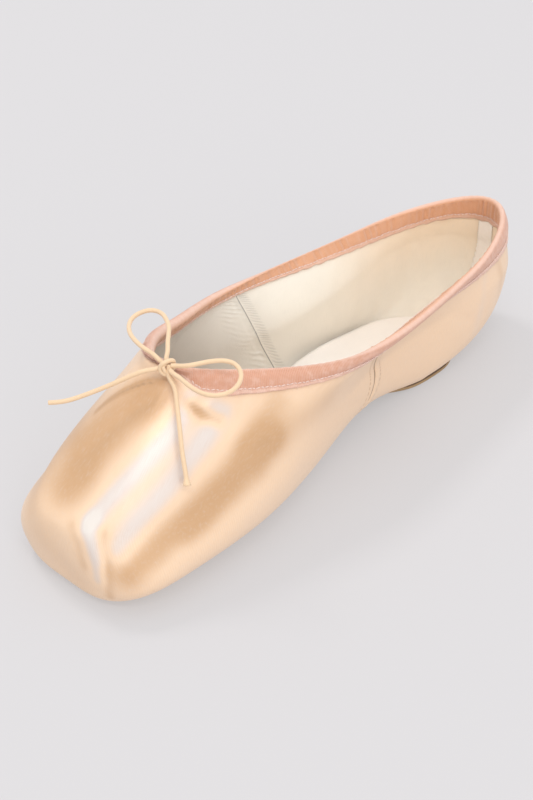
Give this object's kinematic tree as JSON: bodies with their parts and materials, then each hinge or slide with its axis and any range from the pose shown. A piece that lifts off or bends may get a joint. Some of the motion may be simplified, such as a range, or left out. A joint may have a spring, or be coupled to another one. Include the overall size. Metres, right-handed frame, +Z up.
{
  "type": "pointe shoe",
  "caption": "Pointe shoe with a stiffened satin toe box, folded collar binding, drawstring bow, cotton-covered insole and a short leather outsole.",
  "frame": {"origin": "on the floor under the middle of the shoe's overall length and width", "axes": "+Z up from the floor, the toe points to -Y and the heel to +Y, X across the shoe; the wearer's left side is +X"},
  "size_m": [0.0718, 0.2366, 0.072],
  "materials": {
    "satin": "champagne-peach satin with a soft directional sheen and a fine cross weave",
    "binding_tape": "matt pink-peach ribbed tape",
    "sole_leather": "suede leather with a darker stained edge",
    "insole_cotton": "matt cream cotton",
    "cord_cotton": "smooth waxed cotton cord, pale peach-beige"
  },
  "bodies": {
    "root": {"upper": "satin", "binding": "binding_tape", "outsole": "sole_leather", "insole": "insole_cotton", "knot": "cord_cotton", "loop_far": "cord_cotton", "loop_near": "cord_cotton", "end_far": "cord_cotton", "end_near": "cord_cotton"}
  },
  "joints": []
}
